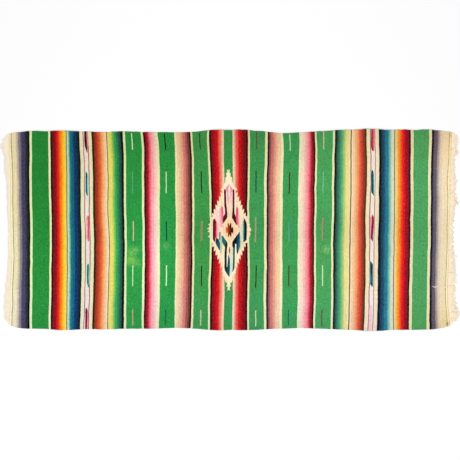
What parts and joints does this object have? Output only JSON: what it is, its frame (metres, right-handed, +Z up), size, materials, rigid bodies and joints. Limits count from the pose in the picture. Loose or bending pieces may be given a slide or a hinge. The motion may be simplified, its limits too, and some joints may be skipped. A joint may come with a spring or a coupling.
{
  "type": "mexican serape",
  "caption": "Striped woven serape laid flat, with shaded colour bands, plain green bands, a serrated centre diamond and a short cream fringe at both ends.",
  "frame": {"origin": "on the surface the cloth lies on, under the middle of the cloth", "axes": "+X along the warp, towards the end with the longer fringe; +Y across the cloth, along the stripes; +Z up, away from the surface"},
  "size_m": [2.1018, 0.9238, 0.0065],
  "materials": {
    "woven_wool": "matt weft-faced weave with a short nap",
    "fringe_cotton": "matt twisted yarn ends"
  },
  "bodies": {
    "root": {"woven_cloth": "woven_wool", "fringe_left": "fringe_cotton", "fringe_right": "fringe_cotton"}
  },
  "joints": []
}
